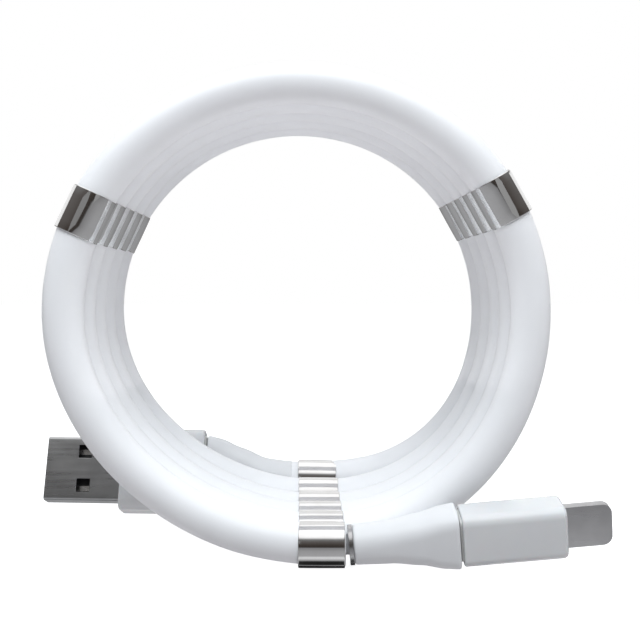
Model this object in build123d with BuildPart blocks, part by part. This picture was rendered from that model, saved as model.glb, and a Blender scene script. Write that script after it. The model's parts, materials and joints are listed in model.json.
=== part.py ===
from build123d import *
from math import cos, pi, radians, sin, tan
import os

# A self-winding charging cable: a round white cord with magnet sleeves along it, wound in five
# turns that stand on their rim, with a USB-A plug on one end and a small flat phone plug on the other.
#
# +X runs along the sleeves that touch the floor, towards the phone plug. +Y is the coil's axis, from
# its front turn to its back turn. +Z is up, and the floor is at zero.

os.makedirs("parts", exist_ok=True)

# ---------------------------------------------------------------- driving dimensions, millimetres
cord_d = 6.4  # outside of the soft jacket
sheath_d = 3.2  # inner sheath that holds the wires
sheath_bore_d = 2.5
wire_d = 0.9
wire_offset = 0.53  # each wire's distance from the cord's axis, both ways

sleeve_d = 7.04
sleeve_bore_d = 6.64
sleeve_length = 7.2
sleeve_edge = 0.12  # small chamfer on both rims
magnet_d = 5.4
magnet_bore_d = 3.6
magnet_length = 6.0

turns = 5
pitch = 7.1  # from one turn to the next, along +Y
coil_x = 0.1  # centre of the coil
coil_y = -19.3  # middle of the front turn at the bottom
coil_half_width = 36.9  # centre of the cord, front turn
coil_half_height = 35.9
shrink_per_turn = 0.32  # each turn is a little smaller than the one in front of it
foot_shift = 3.2  # the lowest point of every turn lies this far right of the coil's centre
lift_fourth = 1.0  # the last turns rise, because the plug on the floor holds the cord's end up
lift_fifth = 2.8
points_per_span = 5  # corners of the route between one magnet station and the next
stations = (0.0, 114.5, 240.5)  # degrees round each turn: foot, left and right

stub = 1.0  # from the last sleeve at either end to the strain relief
jacket_past_sleeve = 0.1  # at the phone plug, the jacket ends just outside its first sleeve
relief_overlap = 0.6  # at the USB plug, the jacket runs on into the strain relief's end
sheath_in_plug = 4.0  # how far the sheath runs into a plug's housing
wires_in_plug = 7.0

# both plugs
plug_seam = 0.3  # dark gap between a strain relief and its housing
housing_edge_round = 0.7
cavity_corner = 0.8
board_thickness = 0.8
crimp_d = 4.4
crimp_gap = 0.03
crimp_length = 2.6
crimp_start = 0.5

# phone plug
phone_rise = 5.2  # degrees that the plug points up
phone_forward = 2.0  # degrees that it points to the front
phone_lean = 11.0  # degrees that its top edge leans to the front
phone_relief_length = 16.7
phone_housing_length = 15.9
phone_housing_width = 8.4
phone_housing_thickness = 7.0
phone_corner = 1.6
phone_wall = 0.8
phone_front_wall = 1.2
phone_relief_start = 0.35  # the soft part starts behind its end ring
end_ring_d = 6.2
end_ring_length = 0.75
tongue_length = 7.3
tongue_width = 6.7
tongue_thickness = 1.5
tongue_edge = 0.35
tongue_tip_round = 1.5
tongue_root_length = 4.0
window_start = 2.0  # the recess for the contacts, on the tongue's back
window_length = 3.4
window_width = 5.3
window_depth = 0.6
phone_pad_count = 8
phone_pad_pitch = 0.6
phone_pad_width = 0.4
phone_pad_length = 2.4
phone_pad_start = 0.5
phone_pad_depth = 0.15
phone_board_width = 5.6

# USB-A plug
usb_rise = 1.2
usb_lean = 20.0  # degrees that its top edge leans to the back
usb_back = 2.2  # the plug lies this far behind the last sleeve, clear of the fifth turn
usb_relief_length = 16.6
usb_housing_length = 15.6
usb_housing_width = 15.6
usb_housing_thickness = 8.0
usb_shell_length = 14.1
usb_shell_width = 12.0
usb_shell_thickness = 4.5
usb_shell_wall = 0.3
usb_shell_corner = 0.6
usb_shell_root = 5.0  # length of the shell inside the housing
usb_hole_offset = 3.2
usb_hole_from_tip = 8.4
usb_hole_length = 2.5
usb_hole_width = 2.5
usb_corner = 2.2
usb_wall = 1.2
usb_front_wall = 1.3
usb_carrier_thickness = 1.85
usb_carrier_setback = 0.6
usb_base_past_housing = 1.5
usb_contact_places = (-3.5, -1.0, 1.0, 3.5)
usb_contact_lengths = (10.6, 9.6, 9.6, 10.6)  # how far each runs past the base; the power pins lead
usb_contact_width = 1.0
usb_contact_thickness = 0.25
usb_board_width = 9.0

floor_to_foot = sleeve_d / 2  # the sleeves at the foot of the coil lie on the floor


# ---------------------------------------------------------------- the route of the cord
def foot_share(angle):
    """1 at the foot of a turn, falling smoothly to 0 half-way up its sides."""
    return max(0.0, cos(angle)) ** 2


def lift(turn):
    """How far the foot of the coil is off the floor, after so many turns."""
    if turn <= turns - 2:
        return 0.0
    if turn <= turns - 1:
        return lift_fourth * (turn - (turns - 2))
    return lift_fourth + (lift_fifth - lift_fourth) * (turn - (turns - 1))


def coil_point(degrees_round):
    """A point on the coil, so many degrees from its front foot: foot, left, top, right and back."""
    angle = radians(degrees_round)
    turn = degrees_round / 360
    half_width = coil_half_width - shrink_per_turn * turn
    half_height = coil_half_height - shrink_per_turn / 2 * turn
    middle_z = floor_to_foot + coil_half_height
    return Vector(
        coil_x - half_width * sin(angle) + foot_shift * foot_share(angle),
        coil_y + pitch * turn,
        middle_z - half_height * cos(angle) + lift(turn) * foot_share(angle),
    )


def station_angles():
    """Degrees from the front foot to each magnet sleeve, foot to foot."""
    angles = [360 * turn + at for turn in range(turns) for at in stations]
    return angles + [360 * turns]


def coil_corners():
    """Corners of the cord's route. A sleeve sits at the middle of every run that crosses a station."""
    corners = []
    angles = station_angles()
    for start, stop in zip(angles, angles[1:]):
        step = (stop - start) / points_per_span
        outside = 1 / cos(radians(step / 2))
        for i in range(points_per_span):
            at = start + (i + 0.5) * step
            on_coil = coil_point(at)
            middle = Vector(coil_x, on_coil.Y, floor_to_foot + coil_half_height)
            corners.append(middle + (on_coil - middle) * outside)
    return corners


corners = coil_corners()
runs = list(zip(corners, corners[1:]))


def sleeve_line(index):
    """Middle and direction of the run that sleeve number index sits on, counted from 0."""
    if index == 0:
        first = corners[0]
        direction = Vector(-1, 0, 0)
        middle = Vector(coil_x + foot_shift, coil_y, floor_to_foot)
        return middle, (first - middle).normalized()
    if index == len(station_angles()) - 1:
        last = corners[-1]
        middle = coil_point(360 * turns)
        return middle, (middle - last).normalized()
    start, stop = runs[index * points_per_span - 1]
    return (start + stop) / 2, (stop - start).normalized()


sleeve_count = len(station_angles())
first_middle, first_direction = sleeve_line(0)
last_middle, last_direction = sleeve_line(sleeve_count - 1)
cord_start = first_middle - first_direction * (sleeve_length / 2 + stub)
cord_end = last_middle + last_direction * (sleeve_length / 2 + stub)


def arc_radii(points):
    """The largest tangent arcs at a route's corners that leave a tenth of every run straight."""
    radii = []
    for before, at, after in zip(points, points[1:], points[2:]):
        arriving, leaving = at - before, after - at
        half_turn = radians(arriving.get_angle(leaving)) / 2
        radii.append(0.45 * min(arriving.length, leaving.length) / tan(half_turn))
    return radii


def plug_plane(origin, axis, lean):
    """The plane a plug is drawn on: z along the plug, x across its width, y through its thickness."""
    upright = (Vector(0, 0, 1) - axis * axis.Z).normalized()
    across = upright * cos(radians(lean)) + axis.cross(upright) * sin(radians(lean))
    return Plane(origin, x_dir=across, z_dir=axis)


phone_axis = Vector(
    cos(radians(phone_rise)) * cos(radians(phone_forward)),
    -cos(radians(phone_rise)) * sin(radians(phone_forward)),
    sin(radians(phone_rise)),
)
phone = plug_plane(cord_start, phone_axis, phone_lean)
usb_axis = Vector(-cos(radians(usb_rise)), 0, sin(radians(usb_rise)))
usb_half_height = (
    (usb_housing_width / 2 - usb_corner) * cos(radians(usb_lean))
    + (usb_housing_thickness / 2 - usb_corner) * sin(radians(usb_lean))
    + usb_corner
)  # of the leaning housing, which rests on its lower edge
usb_back_face = Vector(
    cord_end.X - usb_relief_length, last_middle.Y + usb_back, usb_half_height * cos(radians(usb_rise))
)
usb = plug_plane(usb_back_face, usb_axis, usb_lean)

jacket_route = [
    first_middle - first_direction * (sleeve_length / 2 + jacket_past_sleeve),
    *corners,
    cord_end + last_direction * relief_overlap,
]


def inner_route(past_housing_back):
    """The route of the sheath or the wires, which run on into both plugs."""
    return [
        phone.offset(phone_relief_length + past_housing_back).origin,
        cord_start,
        *corners,
        cord_end,
        usb.origin,
        usb.offset(past_housing_back).origin,
    ]


# ---------------------------------------------------------------- helpers for the pieces
def shifted(plane, across=0.0, through=0.0, along=0.0):
    """The same plane, moved across a plug's width, through its thickness or along it."""
    origin = plane.origin + plane.x_dir * across + plane.y_dir * through + plane.z_dir * along
    return Plane(origin, x_dir=plane.x_dir, z_dir=plane.z_dir)


def save(piece, name):
    """Labels a finished piece and writes it as its own node."""
    piece.label = name
    export_step(piece, f"parts/{name}.step")


def route_line(points):
    """One wire of a route's straight runs, joined by tangent arcs."""
    with BuildLine() as path:
        FilletPolyline(*points, radius=arc_radii(points))
    return path.wire()


def swept_round(line, diameter):
    """A round rod that follows a line."""
    with BuildPart() as rod:
        with BuildSketch(line ^ 0):
            Circle(diameter / 2)
        sweep(path=line)
    return rod.part


def block(plane, start, length, width, thickness, corner, mode=Mode.ADD):
    """A bar along a plug, from start to start + length, with its four long edges rounded."""
    with BuildSketch(plane.offset(start)) as section:
        if corner:
            RectangleRounded(width, thickness, corner)
        else:
            Rectangle(width, thickness)
    extrude(section.sketch, amount=length, mode=mode)


core_line = route_line(inner_route(sheath_in_plug))
core_envelope = swept_round(core_line, sheath_d)


# ---------------------------------------------------------------- magnet sleeves and ring magnets
def magnet_sleeve(line):
    """A thin polished steel tube crimped round the cord, with both rims chamfered."""
    middle, direction = line
    with BuildPart() as sleeve:
        with BuildSketch(Plane(middle - direction * sleeve_length / 2, z_dir=direction)) as ring:
            Circle(sleeve_d / 2)
            Circle(sleeve_bore_d / 2, mode=Mode.SUBTRACT)
        extrude(ring.sketch, amount=sleeve_length)
        outer_rims = sleeve.edges().filter_by(GeomType.CIRCLE).group_by(SortBy.RADIUS)[-1]
        chamfer(outer_rims, sleeve_edge)
    return sleeve.part


def ring_magnet(line):
    """A ring magnet moulded into the jacket, round the sheath."""
    middle, direction = line
    with BuildPart() as magnet:
        with BuildSketch(Plane(middle - direction * magnet_length / 2, z_dir=direction)) as ring:
            Circle(magnet_d / 2)
            Circle(magnet_bore_d / 2, mode=Mode.SUBTRACT)
        extrude(ring.sketch, amount=magnet_length)
    return magnet.part


sleeve_lines = [sleeve_line(index) for index in range(sleeve_count)]
for number, line in enumerate(sleeve_lines, start=1):
    save(magnet_sleeve(line), f"magnet_sleeve_{number:02d}")
    save(ring_magnet(line), f"ring_magnet_{number:02d}")


# ---------------------------------------------------------------- strain reliefs
phone_relief_sections = (  # distance along the plug, width, thickness, corner radius
    (phone_relief_start, 6.1, 6.1, 2.95),
    (6.2, 6.5, 6.3, 2.9),
    (10.5, 7.5, 6.8, 2.8),
    (14.4, 8.9, 7.4, 2.5),
    (phone_relief_length - 0.2, 9.2, 7.7, 2.3),
)
usb_relief_sections = (  # share of the way from the cord to the housing, width, thickness, radius
    (0.0, 6.2, 6.2, 3.0),
    (0.3, 7.2, 6.6, 3.0),
    (0.6, 10.2, 7.0, 2.9),
    (0.85, 12.8, 7.4, 2.6),
    (0.985, 13.6, 7.6, 2.4),
)


def relief_plane(share):
    """A cross-section plane of the USB strain relief, which bends from the cord to the plug."""
    start_at, stop_at = cord_end, usb.origin
    ease = share * share * (3 - 2 * share)
    straight = start_at + (stop_at - start_at) * share
    origin = Vector(straight.X, start_at.Y + (stop_at.Y - start_at.Y) * ease,
                    start_at.Z + (stop_at.Z - start_at.Z) * ease)
    axis = (last_direction * (1 - share) + usb_axis * share).normalized()
    return plug_plane(origin, axis, usb_lean * share)


def strain_relief(sections):
    """A soft tapered sleeve through a list of (plane, width, thickness, corner radius)."""
    with BuildPart() as relief:
        profiles = []
        for plane, width, thickness, corner in sections:
            with BuildSketch(plane) as section:
                RectangleRounded(width, thickness, corner)
            profiles.append(section.sketch)
        loft(profiles)
        add(core_envelope, mode=Mode.SUBTRACT)
    return relief.part


phone_relief = strain_relief(
    [(phone.offset(at), *size) for at, *size in phone_relief_sections]
)
usb_relief = strain_relief([(relief_plane(share), *size) for share, *size in usb_relief_sections])
save(phone_relief, "phone_strain_relief")
save(usb_relief, "usb_strain_relief")


# ---------------------------------------------------------------- the cord
jacket_line = route_line(jacket_route)
jacket_rod = swept_round(jacket_line, cord_d)
section_times_length = pi * (cord_d / 2) ** 2 * jacket_line.length
print("route radii:", ", ".join(f"{radius:.0f}" for radius in arc_radii(jacket_route)))
print(f"cord length {jacket_line.length:.0f} mm")
print(f"swept volume {jacket_rod.volume:.0f} mm3, section times length {section_times_length:.0f} mm3")

with BuildPart() as jacket:
    add(jacket_rod)
    add([core_envelope, usb_relief], mode=Mode.SUBTRACT)
    for middle, direction in sleeve_lines:
        with BuildSketch(Plane(middle - direction * magnet_length / 2, z_dir=direction)) as pocket:
            Circle(magnet_d / 2)
        extrude(pocket.sketch, amount=magnet_length, mode=Mode.SUBTRACT)
save(jacket.part, "cord_jacket")

with BuildPart() as sheath:
    add(core_envelope)
    add(swept_round(core_line, sheath_bore_d), mode=Mode.SUBTRACT)
save(sheath.part, "inner_sheath")

wire_line = route_line(inner_route(wires_in_plug))
with BuildPart() as wires:
    with BuildSketch(wire_line ^ 0):
        with GridLocations(2 * wire_offset, 2 * wire_offset, 2, 2):
            Circle(wire_d / 2)
    sweep(path=wire_line)
wire_names = ("power_wire", "ground_wire", "data_plus_wire", "data_minus_wire")
for name, wire in zip(wire_names, wires.part.solids()):
    save(Part(wire.wrapped), name)


# ---------------------------------------------------------------- phone plug
phone_back = phone_relief_length + plug_seam
phone_front = phone_back + phone_housing_length
phone_cavity = (phone_housing_width - 2 * phone_wall, phone_housing_thickness - 2 * phone_wall)
phone_cavity_length = phone_housing_length - phone_front_wall
along_phone = Axis(phone.origin, phone.z_dir)

with BuildPart() as phone_end_ring:
    with BuildSketch(phone.offset(phone_relief_start - end_ring_length)) as ring:
        Circle(end_ring_d / 2)
        Circle(magnet_bore_d / 2, mode=Mode.SUBTRACT)
    extrude(ring.sketch, amount=end_ring_length)
save(phone_end_ring.part, "phone_end_ring")

with BuildPart() as phone_housing:
    block(phone, phone_back, phone_housing_length,
          phone_housing_width, phone_housing_thickness, phone_corner)
    front_rim = phone_housing.faces().sort_by(along_phone)[-1].edges()
    fillet(front_rim, housing_edge_round)
    block(phone, phone_back, phone_cavity_length, *phone_cavity, cavity_corner, Mode.SUBTRACT)
    block(phone, phone_front - phone_front_wall, phone_front_wall, tongue_width,
          tongue_thickness, 0, Mode.SUBTRACT)
save(phone_housing.part, "phone_housing")

contact_face = shifted(phone, through=-tongue_thickness / 2)
tongue_side = shifted(contact_face, along=phone_front)
tongue_outline = Plane(tongue_side.origin, x_dir=phone.z_dir, z_dir=phone.y_dir)
with BuildPart() as phone_plug_frame:
    with BuildSketch(tongue_outline) as outline:
        Rectangle(tongue_length, tongue_width, align=(Align.MIN, Align.CENTER))
        fillet(outline.vertices().sort_by(Axis.X)[-2:], tongue_tip_round)
    extrude(amount=tongue_thickness)
    broad_faces = phone_plug_frame.faces().sort_by(Axis(phone.origin, phone.y_dir))
    rims = broad_faces[0].edges() + broad_faces[-1].edges()
    fillet(rims.sort_by(along_phone)[2:], tongue_edge)  # all but the two at the housing
    block(phone, phone_front - tongue_root_length, tongue_root_length, tongue_width,
          tongue_thickness, 0)
    block(contact_face, phone_front + window_start, window_length, window_width, 2 * window_depth,
          0, Mode.SUBTRACT)
save(phone_plug_frame.part, "phone_plug_frame")


def phone_pads():
    """The eight contact pads, in a row across the back of the tongue."""
    first = -(phone_pad_count - 1) / 2 * phone_pad_pitch
    for number in range(phone_pad_count):
        side = shifted(contact_face, across=first + number * phone_pad_pitch,
                       through=phone_pad_depth / 2)
        yield side, phone_front + window_start + phone_pad_start


with BuildPart() as phone_contacts:
    for side, start in phone_pads():
        block(side, start, phone_pad_length, phone_pad_width, phone_pad_depth, 0)
save(phone_contacts.part, "phone_contacts")

with BuildPart() as phone_contact_carrier:
    middle_of_window = shifted(contact_face, through=window_depth / 2)
    block(middle_of_window, phone_front + window_start, window_length, window_width, window_depth, 0)
    add(phone_contacts.part, mode=Mode.SUBTRACT)
save(phone_contact_carrier.part, "phone_contact_carrier")

phone_board_start = phone_back - plug_seam + wires_in_plug
with BuildPart() as phone_board:
    block(phone, phone_board_start, phone_front - tongue_root_length - phone_board_start,
          phone_board_width, board_thickness, 0)
save(phone_board.part, "phone_circuit_board")


def crimp_ferrule(plane, start):
    """A short metal tube crimped on the sheath inside a plug."""
    with BuildPart() as ferrule:
        with BuildSketch(plane.offset(start)) as ring:
            Circle(crimp_d / 2)
            Circle(sheath_d / 2 + crimp_gap, mode=Mode.SUBTRACT)
        extrude(ring.sketch, amount=crimp_length)
    return ferrule.part


def inner_mould(plane, start, length, section, inside):
    """The hard plastic cast round everything inside a plug's housing, from its back end."""
    with BuildPart() as mould:
        block(plane, start, length, *section, cavity_corner)
        with BuildSketch(plane.offset(start)) as way_for_the_wires:
            Circle(sheath_bore_d / 2)
        extrude(way_for_the_wires.sketch, amount=wires_in_plug, mode=Mode.SUBTRACT)
        add([core_envelope, *inside], mode=Mode.SUBTRACT)
    return mould.part


phone_crimp = crimp_ferrule(phone, phone_back + crimp_start)
save(phone_crimp, "phone_crimp_ferrule")
save(
    inner_mould(phone, phone_relief_length, phone_front - phone_front_wall - phone_relief_length,
                phone_cavity, [phone_crimp, phone_board.part, phone_plug_frame.part]),
    "phone_inner_mould",
)


# ---------------------------------------------------------------- USB-A plug
usb_front = plug_seam + usb_housing_length
usb_tip = usb_front + usb_shell_length
usb_shell_start = usb_front - usb_shell_root
usb_cavity = (usb_housing_width - 2 * usb_wall, usb_housing_thickness - 2 * usb_wall)
usb_inside = (usb_shell_width - 2 * usb_shell_wall, usb_shell_thickness - 2 * usb_shell_wall)
along_usb = Axis(usb.origin, usb.z_dir)

with BuildPart() as usb_housing:
    block(usb, plug_seam, usb_housing_length, usb_housing_width, usb_housing_thickness, usb_corner)
    front_rim = usb_housing.faces().sort_by(along_usb)[-1].edges()
    fillet(front_rim, housing_edge_round)
    block(usb, plug_seam, usb_housing_length - usb_front_wall, *usb_cavity, cavity_corner,
          Mode.SUBTRACT)
    block(usb, usb_front - usb_front_wall, usb_front_wall, usb_shell_width, usb_shell_thickness,
          usb_shell_corner, Mode.SUBTRACT)
save(usb_housing.part, "usb_housing")

with BuildPart() as usb_shell:
    block(usb, usb_shell_start, usb_tip - usb_shell_start, usb_shell_width, usb_shell_thickness,
          usb_shell_corner)
    block(usb, usb_shell_start, usb_tip - usb_shell_start, *usb_inside,
          usb_shell_corner - usb_shell_wall, Mode.SUBTRACT)
    for side in (-1, 1):
        block(shifted(usb, across=side * usb_hole_offset), usb_tip - usb_hole_from_tip,
              usb_hole_length, usb_hole_width, 2 * usb_shell_thickness, 0, Mode.SUBTRACT)
save(usb_shell.part, "usb_shell")

contact_through = usb_inside[1] / 2 - usb_carrier_thickness + usb_contact_thickness / 2
usb_base_end = usb_front + usb_base_past_housing
with BuildPart() as usb_contacts:
    for across, length in zip(usb_contact_places, usb_contact_lengths):
        block(shifted(usb, across=across, through=contact_through), usb_shell_start,
              usb_base_end + length - usb_shell_start, usb_contact_width, usb_contact_thickness, 0)
save(usb_contacts.part, "usb_contacts")

with BuildPart() as usb_contact_carrier:
    block(usb, usb_shell_start, usb_tip - usb_carrier_setback - usb_shell_start, *usb_inside,
          usb_shell_corner - usb_shell_wall)
    block(shifted(usb, through=-usb_carrier_thickness / 2), usb_base_end, usb_tip - usb_base_end,
          usb_inside[0], usb_inside[1] - usb_carrier_thickness, 0, Mode.SUBTRACT)
    add(usb_contacts.part, mode=Mode.SUBTRACT)
save(usb_contact_carrier.part, "usb_contact_carrier")

with BuildPart() as usb_board:
    block(usb, wires_in_plug, usb_shell_start - wires_in_plug, usb_board_width, board_thickness, 0)
save(usb_board.part, "usb_circuit_board")

with BuildPart() as usb_shell_envelope:
    block(usb, usb_shell_start, usb_shell_root, usb_shell_width, usb_shell_thickness,
          usb_shell_corner)

usb_crimp = crimp_ferrule(usb, plug_seam + crimp_start)
save(usb_crimp, "usb_crimp_ferrule")
save(
    inner_mould(usb, 0, usb_front - usb_front_wall, usb_cavity,
                [usb_crimp, usb_board.part, usb_shell_envelope.part]),
    "usb_inner_mould",
)
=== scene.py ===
"""Looks for the self-winding charging cable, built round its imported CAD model.

The sizes of the object and the camera's place are in millimetres, and MM turns them into Blender's
metres where a point is placed. The rest of the studio is in metres.
"""

import json
from math import cos, pi, radians, sin

import bmesh
import bpy
from mathutils import Matrix, Vector


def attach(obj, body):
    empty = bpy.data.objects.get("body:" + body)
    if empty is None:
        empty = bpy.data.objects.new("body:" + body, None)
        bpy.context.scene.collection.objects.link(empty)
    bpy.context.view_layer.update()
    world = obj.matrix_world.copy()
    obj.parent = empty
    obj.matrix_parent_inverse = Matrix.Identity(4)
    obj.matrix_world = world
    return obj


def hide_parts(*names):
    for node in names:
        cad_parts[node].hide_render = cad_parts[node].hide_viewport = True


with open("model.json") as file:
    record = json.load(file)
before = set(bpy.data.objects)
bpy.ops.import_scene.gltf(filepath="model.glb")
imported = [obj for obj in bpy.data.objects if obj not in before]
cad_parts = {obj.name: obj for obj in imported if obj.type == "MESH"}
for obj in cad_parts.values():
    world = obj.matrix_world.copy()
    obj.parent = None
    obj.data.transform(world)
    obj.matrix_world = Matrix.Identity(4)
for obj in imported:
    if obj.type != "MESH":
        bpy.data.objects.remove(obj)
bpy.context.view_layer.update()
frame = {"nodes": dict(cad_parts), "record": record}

MM = 0.001
BODY = "root"

# ---------------------------------------------------------------- sizes shared with the CAD model
cord_d = 6.4
sleeve_d = 7.04
sleeve_bore_d = 6.64
sleeve_length = 7.2
sleeve_edge = 0.16
sleeve_crown = 0.015
turns = 5
pitch = 7.1
coil_x = 0.1
coil_y = -19.3
coil_half_width = 36.9
coil_half_height = 35.9
shrink_per_turn = 0.32
foot_shift = 3.2
lift_fourth = 1.0
lift_fifth = 2.8
points_per_span = 5
stations = (0.0, 114.5, 240.5)
stub = 1.0
jacket_past_sleeve = 0.1
relief_overlap = 0.6
relief_end_round = 0.3
plug_seam = 0.3
housing_front_edge = 0.7
housing_back_edge = 0.3
mouth_clearance = 0.16
mouth_depth = 0.5
floor_to_foot = sleeve_d / 2

phone_rise = 5.2
phone_forward = 2.0
phone_lean = 11.0
phone_relief_length = 16.7
phone_relief_start = 0.35
phone_relief_gap = 0.2
phone_housing_length = 15.9
phone_housing_width = 8.4
phone_housing_thickness = 7.0
phone_corner = 1.6
end_ring_d = 6.2
end_ring_length = 0.75
end_ring_bore_d = 3.6
end_ring_edge = 0.12
tongue_length = 7.3
tongue_width = 6.7
tongue_thickness = 1.5
tongue_tip_round = 1.5
tongue_edge = 0.35
tongue_root_length = 4.0
tongue_mouth_corner = 0.4
window_start = 2.0
window_length = 3.4
window_width = 5.3
window_depth = 0.6

usb_rise = 1.2
usb_lean = 20.0
usb_back = 2.2
usb_relief_length = 16.6
usb_relief_share = 0.985
usb_housing_length = 15.6
usb_housing_width = 15.6
usb_housing_thickness = 8.0
usb_corner = 2.2
usb_shell_length = 14.1
usb_shell_width = 12.0
usb_shell_thickness = 4.5
usb_shell_wall = 0.3
usb_shell_corner = 0.6
usb_shell_root = 5.0
usb_shell_edge = 0.07
usb_hole_offset = 3.2
usb_hole_from_tip = 8.4
usb_hole_length = 2.5
usb_hole_width = 2.5

# the strain reliefs' sections: (share of the length from the thin end, size there)
phone_relief_widths = ((0, 6.1), (0.36, 6.5), (0.63, 7.5), (0.86, 8.9), (1, 9.2))
phone_relief_thicknesses = ((0, 6.1), (0.36, 6.3), (0.63, 6.8), (0.86, 7.4), (1, 7.7))
phone_relief_corners = ((0, 2.98), (0.36, 2.85), (0.63, 2.6), (0.86, 2.3), (1, 2.1))
usb_relief_widths = ((0, 6.5), (0.3, 7.2), (0.6, 10.2), (0.85, 12.8), (1, 13.6))
usb_relief_thicknesses = ((0, 6.5), (0.3, 6.6), (0.6, 7.0), (0.85, 7.4), (1, 7.6))
usb_relief_corners = ((0, 3.2), (0.3, 3.1), (0.6, 2.9), (0.85, 2.6), (1, 2.4))

# ---------------------------------------------------------------- how finely meshes are divided
round_segments = 96
rim_steps = 5
relief_sections = 44
corner_steps = 8
housing_corner_steps = 10
housing_back_steps = 4
housing_front_steps = 6
shell_corner_steps = 6
tongue_tip_steps = 8
cutter_corner_steps = 2
cord_steps_per_point = 14
cord_round_steps = 10

# ---------------------------------------------------------------- how edges are finished
# the angle in degrees from which a piece's edges are shaded sharp
sharp_turned = 35
sharp_relief = 60
sharp_housing = 50
sharp_tongue = 30
sharp_shell = 15

cutter_corner = 0.02
# a relief's second and last but one rings: their step inwards along it, as a share of a section,
# and how much of the end's rounding they keep
relief_end_step = 0.35
relief_end_inset = 0.3

# ---------------------------------------------------------------- the camera's place and aim
camera_lens = 56.7
camera_distance = 155
camera_left = 0.6
camera_height = 42.8
camera_down = 1.65
camera_right = 1.31


# ---------------------------------------------------------------- the route of the cord
def foot_share(angle):
    """1 at the foot of a turn, falling smoothly to 0 half-way up its sides."""
    return max(0.0, cos(angle)) ** 2


def lift(turn):
    """How far the foot of the coil is off the floor, after so many turns."""
    if turn <= turns - 2:
        return 0.0
    if turn <= turns - 1:
        return lift_fourth * (turn - (turns - 2))
    return lift_fourth + (lift_fifth - lift_fourth) * (turn - (turns - 1))


def coil_point(degrees_round):
    """A point on the coil, so many degrees from its front foot: foot, left, top, right and back."""
    angle = radians(degrees_round)
    turn = degrees_round / 360
    half_width = coil_half_width - shrink_per_turn * turn
    half_height = coil_half_height - shrink_per_turn / 2 * turn
    return Vector((
        coil_x - half_width * sin(angle) + foot_shift * foot_share(angle),
        coil_y + pitch * turn,
        floor_to_foot + coil_half_height - half_height * cos(angle) + lift(turn) * foot_share(angle),
    ))


def station_angles():
    """Degrees from the front foot to each magnet sleeve, foot to foot."""
    return [360 * turn + at for turn in range(turns) for at in stations] + [360 * turns]


def coil_corners():
    """The turns' control points. A sleeve sits half-way between two of them."""
    corners = []
    angles = station_angles()
    for start, stop in zip(angles, angles[1:]):
        step = (stop - start) / points_per_span
        outside = 1 / cos(radians(step / 2))
        for i in range(points_per_span):
            on_coil = coil_point(start + (i + 0.5) * step)
            middle = Vector((coil_x, on_coil.y, floor_to_foot + coil_half_height))
            corners.append(middle + (on_coil - middle) * outside)
    return corners


corners = coil_corners()
sleeve_count = len(station_angles())


def sleeve_line(index):
    """Middle and direction of the cord at sleeve number index, counted from 0."""
    if index == 0:
        middle = Vector((coil_x + foot_shift, coil_y, floor_to_foot))
        return middle, (corners[0] - middle).normalized()
    if index == sleeve_count - 1:
        middle = coil_point(360 * turns)
        return middle, (middle - corners[-1]).normalized()
    before, after = corners[index * points_per_span - 1], corners[index * points_per_span]
    return (before + after) / 2, (after - before).normalized()


first_middle, first_direction = sleeve_line(0)
last_middle, last_direction = sleeve_line(sleeve_count - 1)
cord_start = first_middle - first_direction * (sleeve_length / 2 + stub)
cord_end = last_middle + last_direction * (sleeve_length / 2 + stub)
cord_route = [
    first_middle - first_direction * (sleeve_length / 2 + jacket_past_sleeve),
    *corners,
    cord_end + last_direction * relief_overlap,
]


def plug_matrix(origin, axis, lean):
    """A plug's own frame: x across its width, y through its thickness and z along it."""
    upright = (Vector((0, 0, 1)) - axis * axis.z).normalized()
    across = upright * cos(radians(lean)) + axis.cross(upright) * sin(radians(lean))
    through = axis.cross(across)
    turned = Matrix((across, through, axis)).transposed().to_4x4()
    return Matrix.Translation(origin) @ turned


phone_axis = Vector((
    cos(radians(phone_rise)) * cos(radians(phone_forward)),
    -cos(radians(phone_rise)) * sin(radians(phone_forward)),
    sin(radians(phone_rise)),
))
phone = plug_matrix(cord_start, phone_axis, phone_lean)
phone_back = phone_relief_length + plug_seam
phone_front = phone_back + phone_housing_length

usb_axis = Vector((-cos(radians(usb_rise)), 0, sin(radians(usb_rise))))
usb_half_height = (
    (usb_housing_width / 2 - usb_corner) * cos(radians(usb_lean))
    + (usb_housing_thickness / 2 - usb_corner) * sin(radians(usb_lean))
    + usb_corner
)
usb_origin = Vector((
    cord_end.x - usb_relief_length, last_middle.y + usb_back, usb_half_height * cos(radians(usb_rise))
))
usb = plug_matrix(usb_origin, usb_axis, usb_lean)
usb_front = plug_seam + usb_housing_length
usb_tip = usb_front + usb_shell_length


# ---------------------------------------------------------------- materials
def principled(name, **sockets):
    """A new material, and its shader with constant values set on the shader's own sockets."""
    material = bpy.data.materials.new(name)
    material.use_nodes = True
    shader = material.node_tree.nodes["Principled BSDF"]
    for socket, value in sockets.items():
        shader.inputs[socket.replace("_", " ")].default_value = value
    return material, shader


texture_low = 0.3
texture_high = 0.7


def noise(material, scale, detail, stretch=(1, 1, 1), coordinates="Object"):
    """The output of a noise texture, in noise cells per metre of the model, or per unit of UV."""
    nodes, links = material.node_tree.nodes, material.node_tree.links
    place = nodes.new("ShaderNodeTexCoord")
    mapping = nodes.new("ShaderNodeMapping")
    mapping.inputs["Scale"].default_value = stretch
    texture = nodes.new("ShaderNodeTexNoise")
    texture.inputs["Scale"].default_value = scale
    texture.inputs["Detail"].default_value = detail
    links.new(place.outputs[coordinates], mapping.inputs["Vector"])
    links.new(mapping.outputs["Vector"], texture.inputs["Vector"])
    return texture.outputs["Fac"]


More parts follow.
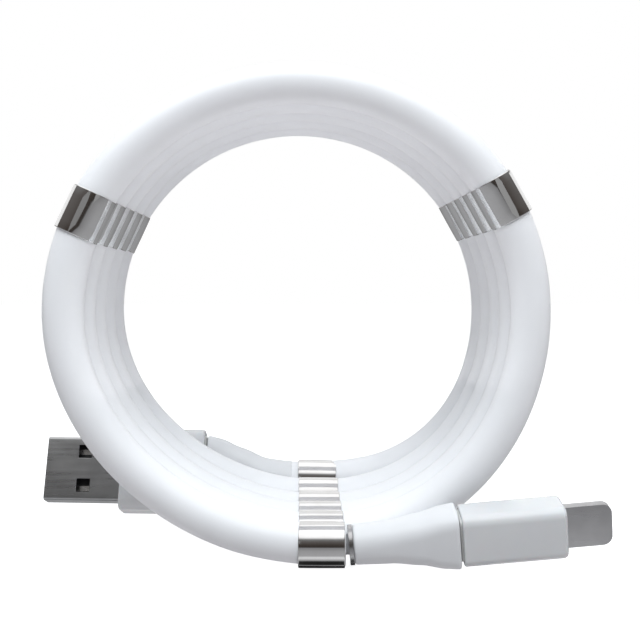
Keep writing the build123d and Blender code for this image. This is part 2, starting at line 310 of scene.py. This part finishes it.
def vary_colour(material, shader, value, dark, light):
    """Base colour from dark to light over the middle of the texture's range."""
    ramp = material.node_tree.nodes.new("ShaderNodeValToRGB")
    ramp.color_ramp.elements[0].position = texture_low
    ramp.color_ramp.elements[0].color = (*dark, 1)
    ramp.color_ramp.elements[1].position = texture_high
    ramp.color_ramp.elements[1].color = (*light, 1)
    material.node_tree.links.new(value, ramp.inputs["Fac"])
    material.node_tree.links.new(ramp.outputs["Color"], shader.inputs["Base Color"])


def vary_roughness(material, shader, value, low, high):
    """Roughness from low to high over the middle of the texture's range."""
    spread = material.node_tree.nodes.new("ShaderNodeMapRange")
    spread.inputs["From Min"].default_value = texture_low
    spread.inputs["From Max"].default_value = texture_high
    spread.inputs["To Min"].default_value = low
    spread.inputs["To Max"].default_value = high
    material.node_tree.links.new(value, spread.inputs["Value"])
    material.node_tree.links.new(spread.outputs["Result"], shader.inputs["Roughness"])


def bump(material, shader, value, height, strength):
    """Fine relief, of this height in millimetres."""
    node = material.node_tree.nodes.new("ShaderNodeBump")
    node.inputs["Strength"].default_value = strength
    node.inputs["Distance"].default_value = height * MM
    material.node_tree.links.new(value, node.inputs["Height"])
    material.node_tree.links.new(node.outputs["Normal"], shader.inputs["Normal"])


def soft_white(name, dark, light):
    """White silicone rubber, between two shades: a satin skin with a very fine grain."""
    material, shader = principled(
        name, Subsurface_Weight=0.05, Subsurface_Scale=0.0008, Sheen_Weight=0.03,
        Sheen_Roughness=0.4, Specular_IOR_Level=0.45,
    )
    shader.inputs["Subsurface Radius"].default_value = (1.0, 1.0, 1.1)
    vary_colour(material, shader, noise(material, 90, 4), dark, light)
    vary_roughness(material, shader, noise(material, 700, 3), 0.34, 0.46)
    bump(material, shader, noise(material, 5200, 2), 0.012, 0.5)
    return material


def gloss_white(name):
    """White moulded plastic, glossy, with the faint orange peel of a moulding."""
    material, shader = principled(
        name, Specular_IOR_Level=0.55, Coat_Weight=0.35, Coat_Roughness=0.08,
        Subsurface_Weight=0.06, Subsurface_Scale=0.0008,
    )
    # a greyer white than the cord's: the housings' own white, darkened as painted shade on their fronts
    vary_colour(material, shader, noise(material, 140, 3), (0.68, 0.69, 0.7), (0.72, 0.725, 0.73))
    vary_roughness(material, shader, noise(material, 1300, 4), 0.16, 0.26)
    bump(material, shader, noise(material, 900, 1), 0.01, 0.35)
    return material


def metal(name, dark, light, roughness, grain, stretch, height=0.0006, coordinates="UV"):
    """Bare metal, with drawn lines along or round it."""
    material, shader = principled(name, Metallic=1.0)
    lines = noise(material, grain, 5, stretch, coordinates)
    vary_colour(material, shader, noise(material, 260, 4), dark, light)
    vary_roughness(material, shader, lines, *roughness)
    bump(material, shader, lines, height, 0.35)
    return material


def plain_plastic(name, dark, light, roughness=(0.35, 0.5)):
    """A coloured plastic with a fine mottle and grain."""
    material, shader = principled(name)
    vary_colour(material, shader, noise(material, 420, 4), dark, light)
    vary_roughness(material, shader, noise(material, 1500, 3), *roughness)
    bump(material, shader, noise(material, 4000, 2), 0.01, 0.5)
    return material


def make_materials():
    """One material for each slot of the record."""
    around = (1, 40, 1)
    along = (1, 30, 30)
    return {
        "cord_silicone": soft_white("cord_silicone", (0.855, 0.86, 0.875), (0.89, 0.895, 0.91)),
        # the reliefs' silicone is the cord's white made darker: painted shade
        "relief_silicone": soft_white("relief_silicone", (0.72, 0.73, 0.745), (0.76, 0.765, 0.775)),
        "white_plastic": gloss_white("white_plastic"),
        "sleeve_steel": metal("sleeve_steel", (0.74, 0.735, 0.73), (0.8, 0.8, 0.8),
                              (0.06, 0.11), 9, around, 0.0002),
        "ring_steel": metal("ring_steel", (0.42, 0.42, 0.43), (0.52, 0.52, 0.53),
                            (0.2, 0.3), 9, around),
        "shell_steel": metal("shell_steel", (0.38, 0.385, 0.39), (0.46, 0.465, 0.47),
                             (0.24, 0.38), 60, along, coordinates="Object"),
        "tongue_steel": metal("tongue_steel", (0.5, 0.5, 0.51), (0.58, 0.58, 0.59),
                              (0.26, 0.36), 60, along, coordinates="Object"),
        "magnet_nickel": metal("magnet_nickel", (0.5, 0.49, 0.46), (0.62, 0.6, 0.57),
                               (0.15, 0.25), 900, (1, 1, 1), coordinates="Object"),
        "contact_gold": metal("contact_gold", (0.75, 0.52, 0.2), (0.86, 0.64, 0.3),
                              (0.18, 0.28), 900, (1, 1, 1), coordinates="Object"),
        "contact_nickel": metal("contact_nickel", (0.55, 0.545, 0.53), (0.7, 0.69, 0.67),
                                (0.2, 0.32), 900, (1, 1, 1), coordinates="Object"),
        "crimp_brass": metal("crimp_brass", (0.52, 0.4, 0.2), (0.66, 0.53, 0.3),
                             (0.25, 0.4), 900, (1, 1, 1), coordinates="Object"),
        "sheath_plastic": plain_plastic("sheath_plastic", (0.55, 0.55, 0.57), (0.64, 0.64, 0.66)),
        "mould_plastic": plain_plastic("mould_plastic", (0.58, 0.58, 0.56), (0.66, 0.66, 0.64)),
        "black_insulator": plain_plastic("black_insulator", (0.012, 0.012, 0.013), (0.03, 0.03, 0.032)),
        "board_green": plain_plastic("board_green", (0.01, 0.09, 0.035), (0.02, 0.13, 0.05), (0.25, 0.4)),
        "wire_red": plain_plastic("wire_red", (0.4, 0.015, 0.012), (0.5, 0.03, 0.02)),
        "wire_black": plain_plastic("wire_black", (0.012, 0.012, 0.012), (0.03, 0.03, 0.03)),
        "wire_green": plain_plastic("wire_green", (0.01, 0.16, 0.03), (0.02, 0.22, 0.05)),
        "wire_white": plain_plastic("wire_white", (0.66, 0.66, 0.64), (0.74, 0.74, 0.72)),
    }


materials = make_materials()


# ---------------------------------------------------------------- mesh helpers
def rounded_outline(width, thickness, corner, steps=corner_steps):
    """Points round a rounded rectangle, the same number for every size."""
    points = []
    for centre_x, centre_y, start in (
        (width / 2 - corner, thickness / 2 - corner, 0),
        (-width / 2 + corner, thickness / 2 - corner, 90),
        (-width / 2 + corner, -thickness / 2 + corner, 180),
        (width / 2 - corner, -thickness / 2 + corner, 270),
    ):
        for i in range(steps + 1):
            angle = radians(start + 90 * i / steps)
            points.append((centre_x + corner * cos(angle), centre_y + corner * sin(angle)))
    return points


def add_piece(name, mesh, slot, sharp, replaced):
    """Makes a mesh into a piece of the object, in place of a CAD node, with edges sharp from an angle."""
    piece = bpy.data.objects.new(name, mesh)
    bpy.context.scene.collection.objects.link(piece)
    mesh.materials.clear()
    mesh.materials.append(materials[slot])
    mesh.polygons.foreach_set("use_smooth", [True] * len(mesh.polygons))
    mesh.set_sharp_from_angle(angle=radians(sharp))
    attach(piece, BODY)
    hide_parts(replaced)
    return piece


def loft(name, rings, closed=False):
    """A skin through rings of points in millimetres, capped at both ends or joined end to start."""
    mesh = bpy.data.meshes.new(name)
    size, count = len(rings[0]), len(rings)
    faces, places = [], []
    for i in range(count if closed else count - 1):
        for j in range(size):
            k = (j + 1) % size
            faces.append((i * size + j, i * size + k, (i + 1) % count * size + k,
                          (i + 1) % count * size + j))
            places.append(((j / size, i / count), ((j + 1) / size, i / count),
                           ((j + 1) / size, (i + 1) / count), (j / size, (i + 1) / count)))
    if not closed:
        last = (count - 1) * size
        for cap in (tuple(reversed(range(size))), tuple(range(last, last + size))):
            faces.append(cap)
            places.append(tuple((0.5 + 0.01 * cos(2 * pi * j / size), 0.01 * sin(2 * pi * j / size))
                                for j in cap))
    mesh.from_pydata([tuple(point * MM) for ring in rings for point in ring], [], faces)
    layer = mesh.uv_layers.new(name="UVMap")
    layer.data.foreach_set("uv", [value for face in places for place in face for value in place])
    shape = bmesh.new()
    shape.from_mesh(mesh)
    bmesh.ops.recalc_face_normals(shape, faces=shape.faces)
    shape.to_mesh(mesh)
    shape.free()
    return mesh


def revolve(name, matrix, profile):
    """A ring turned from a closed profile of (distance along z, radius)."""
    turns_round = [2 * pi * i / round_segments for i in range(round_segments)]
    rings = [
        [matrix @ Vector((radius * cos(turn), radius * sin(turn), along)) for turn in turns_round]
        for along, radius in profile
    ]
    return loft(name, rings, closed=True)


def tube_profile(length, outer, bore, edge, crown=0.0):
    """A short tube's section, with rounded outer rims and a slightly crowned outside."""
    half = length / 2
    profile = [(-half, bore / 2), (-half, outer / 2 - edge)]
    for i in range(1, rim_steps + 1):
        turn = radians(90 * i / rim_steps)
        profile.append((-half + edge - edge * cos(turn), outer / 2 - edge + edge * sin(turn)))
    for share in (-0.6, -0.2, 0.2, 0.6):
        profile.append((share * (half - edge), outer / 2 + crown * (1 - share * share)))
    profile += [(-along, radius) for along, radius in reversed(profile[:rim_steps + 2])]
    return profile


def smooth_between(values, share):
    """The value at a share, from (share, value) pairs, half eased and half straight between them."""
    for (start, low), (stop, high) in zip(values, values[1:]):
        if share <= stop:
            part = (share - start) / (stop - start)
            eased = part * part * (3 - 2 * part)
            return low + (high - low) * (eased + part) / 2
    return values[-1][1]


def cut(piece, cutters, edge, segments):
    """Cuts boxes out of a piece, rounds its edges and leaves a plain mesh."""
    for cutter in cutters:
        boolean = piece.modifiers.new("cut", "BOOLEAN")
        boolean.operation = "DIFFERENCE"
        boolean.object = cutter
    rounding = piece.modifiers.new("edges", "BEVEL")
    rounding.width = edge * MM
    rounding.segments = segments
    rounding.limit_method = "ANGLE"
    rounding.angle_limit = radians(50)
    bpy.context.view_layer.update()
    evaluated = piece.evaluated_get(bpy.context.evaluated_depsgraph_get())
    mesh = bpy.data.meshes.new_from_object(evaluated)
    bpy.data.objects.remove(piece)
    for cutter in cutters:
        bpy.data.objects.remove(cutter)
    return mesh


def temporary(mesh):
    """An object that exists only while its mesh is being worked on."""
    thing = bpy.data.objects.new("temporary", mesh)
    bpy.context.scene.collection.objects.link(thing)
    return thing


def bar(matrix, start, length, width, thickness, across=0.0, through=0.0):
    """A bar along a plug, to cut with, moved across its width or through its thickness."""
    outline = rounded_outline(width, thickness, cutter_corner, cutter_corner_steps)
    rings = [
        [matrix @ Vector((x + across, y + through, along)) for x, y in outline]
        for along in (start, start + length)
    ]
    return temporary(loft("bar", rings))


# ---------------------------------------------------------------- the cord
def make_cord():
    """The cord's jacket, as one smooth line through all its turns."""
    curve = bpy.data.curves.new("cord", "CURVE")
    curve.dimensions = "3D"
    spline = curve.splines.new("NURBS")
    spline.points.add(len(cord_route) - 1)
    for point, place in zip(spline.points, cord_route):
        point.co = (*(place * MM), 1)
    spline.order_u = 3
    spline.use_endpoint_u = True
    spline.resolution_u = cord_steps_per_point
    curve.bevel_depth = cord_d / 2 * MM
    curve.bevel_resolution = cord_round_steps
    curve.use_fill_caps = True
    cord = bpy.data.objects.new("cord", curve)
    bpy.context.scene.collection.objects.link(cord)
    curve.materials.append(materials["cord_silicone"])
    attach(cord, BODY)
    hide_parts("cord_jacket")
    return cord


def make_sleeves():
    """The polished steel sleeves over the ring magnets."""
    sleeves = []
    profile = tube_profile(sleeve_length, sleeve_d, sleeve_bore_d, sleeve_edge, sleeve_crown)
    for index in range(sleeve_count):
        name = f"sleeve_{index + 1:02d}"
        mesh = revolve(name, plug_matrix(*sleeve_line(index), 0), profile)
        sleeves.append(add_piece(name, mesh, "sleeve_steel", sharp_turned, f"magnet_{name}"))
    return sleeves


# ---------------------------------------------------------------- phone plug
def make_phone_end_ring():
    """The metal ring that closes the strain relief's thin end."""
    middle = phone @ Matrix.Translation((0, 0, phone_relief_start - end_ring_length / 2))
    profile = tube_profile(end_ring_length, end_ring_d, end_ring_bore_d, end_ring_edge)
    mesh = revolve("phone_ring", middle, profile)
    return add_piece("phone_ring", mesh, "ring_steel", sharp_turned, "phone_end_ring")


def relief_rings(matrix_at, widths, thicknesses, corners_along):
    """Rings of a tapered strain relief, with softly rounded ends."""
    rings = []
    for i in range(relief_sections + 1):
        share = i / relief_sections
        width = smooth_between(widths, share)
        thickness = smooth_between(thicknesses, share)
        corner = min(smooth_between(corners_along, share), thickness / 2 - 0.02)
        for inset, at in end_insets(share, i):
            outline = rounded_outline(width - 2 * inset, thickness - 2 * inset, corner - inset)
            rings.append([matrix_at(at) @ Vector((x, y, 0)) for x, y in outline])
    return rings


def end_insets(share, i):
    """(inset, share) pairs that round off the first and last sections of a relief."""
    step = relief_end_step / relief_sections
    if i == 0:
        return [(relief_end_round, share), (relief_end_inset * relief_end_round, share + step)]
    if i == relief_sections:
        return [(relief_end_inset * relief_end_round, share - step), (relief_end_round, share)]
    return [(0.0, share)]


def make_phone_relief():
    """The soft sleeve that flares from the cord's round section to the phone plug's flat one."""
    length = phone_relief_length - phone_relief_gap - phone_relief_start
    rings = relief_rings(
        lambda share: phone @ Matrix.Translation((0, 0, phone_relief_start + length * share)),
        phone_relief_widths, phone_relief_thicknesses, phone_relief_corners,
    )
    mesh = loft("phone_relief", rings)
    return add_piece("phone_relief", mesh, "relief_silicone", sharp_relief, "phone_strain_relief")


def housing_rings(matrix, start, length, size, opening):
    """Rings of a plug's housing: rounded back, straight sides, rounded front and a recessed mouth."""
    width, thickness, corner = size
    rings = []

    def add(inset, along):
        outline = rounded_outline(
            width - 2 * inset, thickness - 2 * inset, corner - inset, housing_corner_steps
        )
        rings.append([matrix @ Vector((x, y, along)) for x, y in outline])

    for i in range(housing_back_steps + 1):
        turn = radians(90 * i / housing_back_steps)
        add(housing_back_edge * (1 - sin(turn)), start + housing_back_edge * (1 - cos(turn)))
    for i in range(housing_front_steps + 1):
        turn = radians(90 * i / housing_front_steps)
        add(housing_front_edge * (1 - cos(turn)), start + length - housing_front_edge * (1 - sin(turn)))
    for along in (start + length, start + length - mouth_depth):
        outline = rounded_outline(*opening, housing_corner_steps)
        rings.append([matrix @ Vector((x, y, along)) for x, y in outline])
    return rings


def make_phone_housing():
    """The phone plug's glossy white housing."""
    size = (phone_housing_width, phone_housing_thickness, phone_corner)
    opening = (tongue_width + mouth_clearance, tongue_thickness + mouth_clearance, tongue_mouth_corner)
    rings = housing_rings(phone, phone_back, phone_housing_length, size, opening)
    mesh = loft("phone_plug_housing", rings)
    return add_piece("phone_plug_housing", mesh, "white_plastic", sharp_housing, "phone_housing")


def make_tongue():
    """The flat metal tongue, with its rounded tip and the recess for its contacts at the back."""
    half = tongue_width / 2
    outline = [(half, -tongue_root_length)]
    for side, start in ((1, 0), (-1, 90)):
        for i in range(tongue_tip_steps + 1):
            angle = radians(start + 90 * i / tongue_tip_steps)
            outline.append((
                side * (half - tongue_tip_round) + tongue_tip_round * cos(angle),
                tongue_length - tongue_tip_round + tongue_tip_round * sin(angle),
            ))
    outline.append((-half, -tongue_root_length))
    rings = [
        [phone @ Vector((x, side * tongue_thickness / 2, phone_front + along)) for x, along in outline]
        for side in (-1, 1)
    ]
    tongue = temporary(loft("tongue", rings))
    window = bar(
        phone, phone_front + window_start, window_length, window_width, 2 * window_depth,
        through=-tongue_thickness / 2,
    )
    mesh = cut(tongue, [window], 0.9 * tongue_edge, 4)
    return add_piece("phone_tongue", mesh, "tongue_steel", sharp_tongue, "phone_plug_frame")


# ---------------------------------------------------------------- USB-A plug
def usb_relief_matrix(share):
    """The USB strain relief's frame, which bends from the cord to the plug."""
    ease = share * share * (3 - 2 * share)
    straight = cord_end.lerp(usb_origin, share)
    bent = cord_end.lerp(usb_origin, ease)
    axis = (last_direction * (1 - share) + usb_axis * share).normalized()
    return plug_matrix(Vector((straight.x, bent.y, bent.z)), axis, usb_lean * share)


def make_usb_relief():
    """The soft sleeve that bends and flares from the cord to the USB-A plug."""
    rings = relief_rings(
        lambda share: usb_relief_matrix(share * usb_relief_share),
        usb_relief_widths, usb_relief_thicknesses, usb_relief_corners,
    )
    mesh = loft("usb_relief", rings)
    return add_piece("usb_relief", mesh, "relief_silicone", sharp_relief, "usb_strain_relief")


def make_usb_housing():
    """The USB-A plug's glossy white housing."""
    size = (usb_housing_width, usb_housing_thickness, usb_corner)
    opening = (
        usb_shell_width + mouth_clearance,
        usb_shell_thickness + mouth_clearance,
        usb_shell_corner + mouth_clearance / 2,
    )
    rings = housing_rings(usb, plug_seam, usb_housing_length, size, opening)
    mesh = loft("usb_plug_housing", rings)
    return add_piece("usb_plug_housing", mesh, "white_plastic", sharp_housing, "usb_housing")


def make_usb_shell():
    """The USB-A plug's folded steel shell, with two holes in each broad face."""
    start = usb_front - usb_shell_root
    inside = (usb_shell_width - 2 * usb_shell_wall, usb_shell_thickness - 2 * usb_shell_wall)
    outer = rounded_outline(
        usb_shell_width, usb_shell_thickness, usb_shell_corner, shell_corner_steps
    )
    inner = rounded_outline(*inside, usb_shell_corner - usb_shell_wall, shell_corner_steps)
    rings = []
    for outline, along in ((outer, start), (outer, usb_tip), (inner, usb_tip), (inner, start)):
        rings.append([usb @ Vector((x, y, along)) for x, y in outline])
    shell = temporary(loft("shell", rings, closed=True))
    holes = [
        bar(
            usb, usb_tip - usb_hole_from_tip, usb_hole_length, usb_hole_width,
            2 * usb_shell_thickness, across=side * usb_hole_offset,
        )
        for side in (-1, 1)
    ]
    mesh = cut(shell, holes, usb_shell_edge, 2)
    return add_piece("usb_metal_shell", mesh, "shell_steel", sharp_shell, "usb_shell")


# ---------------------------------------------------------------- camera, floor and light
def make_camera():
    """The camera stands close in front of the coil, and looks a little right and down."""
    camera = bpy.data.objects.new("camera", bpy.data.cameras.new("camera"))
    camera.data.lens = camera_lens
    camera.data.sensor_width = 36
    camera.data.clip_start = 0.005
    camera.location = Vector((coil_x - camera_left, coil_y - camera_distance, camera_height)) * MM
    camera.rotation_euler = (radians(90 - camera_down), 0, radians(-camera_right))
    bpy.context.scene.collection.objects.link(camera)
    bpy.context.scene.camera = camera


def make_area(name, place, aim, size, power, colour):
    """A soft box light at a place, pointed at another, that neither the camera nor gloss sees."""
    light = bpy.data.lights.new(name, "AREA")
    light.shape = "RECTANGLE"
    light.size, light.size_y = size
    light.energy = power
    light.color = colour
    box = bpy.data.objects.new(name, light)
    box.location = place
    box.rotation_euler = (Vector(aim) - Vector(place)).to_track_quat("-Z", "Y").to_euler()
    box.visible_camera = box.visible_glossy = False
    bpy.context.scene.collection.objects.link(box)


def make_card(name, corners_of_it, colour, glow):
    """A flat card or floor of the studio, dull and glowing evenly."""
    mesh = bpy.data.meshes.new(name)
    mesh.from_pydata(corners_of_it, [], [(0, 1, 2, 3)])
    card = bpy.data.objects.new(name, mesh)
    bpy.context.scene.collection.objects.link(card)
    material, shader = principled(name, Roughness=0.8, Specular_IOR_Level=0.1, Emission_Strength=glow)
    shader.inputs["Emission Color"].default_value = (1, 1, 1, 1)
    vary_colour(material, shader, noise(material, 6, 2), colour, tuple(c * 1.02 for c in colour))
    mesh.materials.append(material)
    return card


def height_ramp(nodes, links, coordinate, reach, colours):
    """A colour for every height, from a list of (height as a share of the reach, colour)."""
    split = nodes.new("ShaderNodeSeparateXYZ")
    spread = nodes.new("ShaderNodeMapRange")
    spread.inputs["From Min"].default_value = -reach
    spread.inputs["From Max"].default_value = reach
    ramp = nodes.new("ShaderNodeValToRGB")
    stops = ramp.color_ramp.elements
    for height, colour in colours:
        stop = stops.new((height + 1) / 2)
        stop.color = (*colour, 1)
    stops.remove(stops[0])
    stops.remove(stops[-1])
    links.new(coordinate, split.inputs["Vector"])
    links.new(split.outputs["Z"], spread.inputs["Value"])
    links.new(spread.outputs["Result"], ramp.inputs["Fac"])
    return ramp.outputs["Color"]


# the sine of the elevation, from straight down to straight up, and the soft light from there
room_colours = (
    (-0.999, (1.4, 1.4, 1.42)),
    (-0.96, (0.75, 0.745, 0.77)),
    (-0.40, (0.78, 0.77, 0.81)),
    (-0.37, (0.03, 0.03, 0.03)),
    (0.10, (0.03, 0.03, 0.03)),
    (0.34, (0.30, 0.31, 0.325)),
    (0.999, (0.36, 0.38, 0.4)),
)

# the same, for what shiny surfaces reflect: the table, dark straight down as a painted shadow of the coil
# on it, a dark wall and a white ceiling
reflected_colours = (
    (-0.999, (0.01, 0.01, 0.01)),
    (-0.97, (0.03, 0.03, 0.03)),
    (-0.92, (0.45, 0.45, 0.46)),
    (-0.80, (0.85, 0.86, 0.87)),
    (-0.68, (0.42, 0.42, 0.43)),
    (-0.30, (0.36, 0.362, 0.37)),
    (-0.03, (0.24, 0.24, 0.245)),
    (0.01, (0.04, 0.035, 0.032)),
    (0.21, (0.06, 0.05, 0.044)),
    (0.45, (0.12, 0.11, 0.105)),
    (0.62, (0.22, 0.22, 0.22)),
    (0.76, (1.2, 1.2, 1.2)),
    (0.999, (1.45, 1.45, 1.45)),
)

# cards that only shiny surfaces see: name, start and end on the plan, bottom, top and glow
mirrored_cards = (
    ("card_behind", (-0.8, 0.6), (0.8, 0.6), 0.14, 0.55, 1.0),
    ("wing_left", (-0.8, 0.25), (-0.8, 0.6), 0.14, 0.55, 1.0),
    ("wing_right", (0.8, 0.25), (0.8, 0.6), 0.14, 0.55, 1.0),
    ("card_left", (-0.18, -0.25), (-0.05, -0.25), 0.075, 0.146, 0.24),
    ("card_right", (0.055, -0.25), (0.18, -0.25), 0.03, 0.146, 0.32),
)
mirrored_card_colour = (0.02, 0.02, 0.02)

# a dark card that only shiny surfaces see, lying under the foot of the coil: a painted shadow of the coil
# on the floor, for the sleeves to reflect
floor_shadow_plan = ((-0.02, -0.0195), (0.03, -0.0195), (0.03, 0.06), (-0.02, 0.06))
floor_shadow_height = -0.004

# soft boxes: name, place, what each is aimed at, size, power in watts and colour
cool_white = (0.93, 0.97, 1.0)
soft_boxes = (
    ("overhead", (-0.05, -0.05, 0.5), (0, 0, 0.03), (0.35, 0.35), 1.2, cool_white),
    ("front_top", (0, -0.25, 0.35), (0, -0.01, 0.05), (0.4, 0.2), 1.2, cool_white),
    ("inside", (0, -0.01, 0.026), (0, -0.0101, 0.08), (0.06, 0.05), 0.0042, (1, 0.99, 1)),
    ("side_left", (-0.3, -0.05, 0.08), (0, 0, 0.04), (0.25, 0.2), 0.1, (1, 1, 1)),
    ("side_right", (0.3, -0.05, 0.08), (0, 0, 0.04), (0.25, 0.2), 0.19, (1, 1, 1)),
    ("behind", (0, 0.4, 0.1), (0, 0, 0.04), (0.8, 0.5), 0.85, (1, 1, 1)),
)

floor_half = 3
floor_colour = (0.45, 0.45, 0.455)
floor_glow = 0.88
backdrop_radius = 3.5
mirrored_radius = 1.5


def make_room_light():
    """Light by its direction: a pale ceiling, dark walls and a white table."""
    world = bpy.data.worlds.new("studio")
    bpy.context.scene.world = world
    world.use_nodes = True
    nodes, links = world.node_tree.nodes, world.node_tree.links
    place = nodes.new("ShaderNodeTexCoord").outputs["Generated"]
    links.new(height_ramp(nodes, links, place, 1, room_colours), nodes["Background"].inputs["Color"])


def make_dome(name, radius):
    """A white glowing sphere round the studio, which lights nothing."""
    mesh = bpy.data.meshes.new(name)
    shape = bmesh.new()
    bmesh.ops.create_uvsphere(shape, u_segments=64, v_segments=32, radius=radius)
    shape.to_mesh(mesh)
    shape.free()
    dome = bpy.data.objects.new(name, mesh)
    bpy.context.scene.collection.objects.link(dome)
    material, shader = principled(name, Roughness=1.0, Specular_IOR_Level=0.0, Emission_Strength=1.0)
    shader.inputs["Base Color"].default_value = (0, 0, 0, 1)
    shader.inputs["Emission Color"].default_value = (1, 1, 1, 1)
    mesh.materials.append(material)
    dome.visible_diffuse = dome.visible_shadow = dome.visible_transmission = False
    return dome


def make_backdrops():
    """A white dome that only the camera sees, and inside it one that only reflections see."""
    make_dome("backdrop", backdrop_radius).visible_glossy = False
    mirrored = make_dome("mirrored_room", mirrored_radius)
    mirrored.visible_camera = False
    tree = mirrored.data.materials[0].node_tree
    place = tree.nodes.new("ShaderNodeTexCoord").outputs["Object"]
    colour = height_ramp(tree.nodes, tree.links, place, mirrored_radius, reflected_colours)
    tree.links.new(colour, tree.nodes["Principled BSDF"].inputs["Emission Color"])


def make_mirrored_card(name, corners_of_it, glow):
    """A card that only shiny surfaces see."""
    card = make_card(name, corners_of_it, mirrored_card_colour, glow)
    card.visible_camera = card.visible_diffuse = card.visible_shadow = False


def make_floor():
    """The white floor, which only the camera sees. The room's own light stands in for its bounce."""
    corners_of_it = [(x * floor_half, y * floor_half, 0) for x, y in ((-1, -1), (1, -1), (1, 1), (-1, 1))]
    floor = make_card("floor", corners_of_it, floor_colour, floor_glow)
    floor.visible_diffuse = floor.visible_glossy = floor.visible_shadow = False


def make_studio():
    """A white table and backdrop, soft boxes all round, and cards for the metal to reflect."""
    bpy.context.scene.view_settings.view_transform = "Standard"
    make_room_light()
    make_backdrops()
    make_floor()
    for name, start, stop, low, high, glow in mirrored_cards:
        make_mirrored_card(name, [(*start, low), (*stop, low), (*stop, high), (*start, high)], glow)
    # the dark card under the foot is a painted shadow of the coil on the floor, seen only in reflections
    make_mirrored_card("painted_floor_shadow", [(*place, floor_shadow_height) for place in floor_shadow_plan], 0.0)
    for box in soft_boxes:
        make_area(*box)


def finish_cad_nodes():
    """Gives each CAD node the material of its slot in the record."""
    for subpart in frame["record"]["subparts"]:
        node = frame["nodes"][subpart["node"]]
        node.data.materials.clear()
        node.data.materials.append(materials[subpart["material_slot"]])


make_camera()
cord = make_cord()
sleeves = make_sleeves()
make_phone_end_ring()
make_phone_relief()
make_phone_housing()
make_tongue()
usb_pieces = [make_usb_relief(), make_usb_housing(), make_usb_shell()]
finish_cad_nodes()
make_studio()
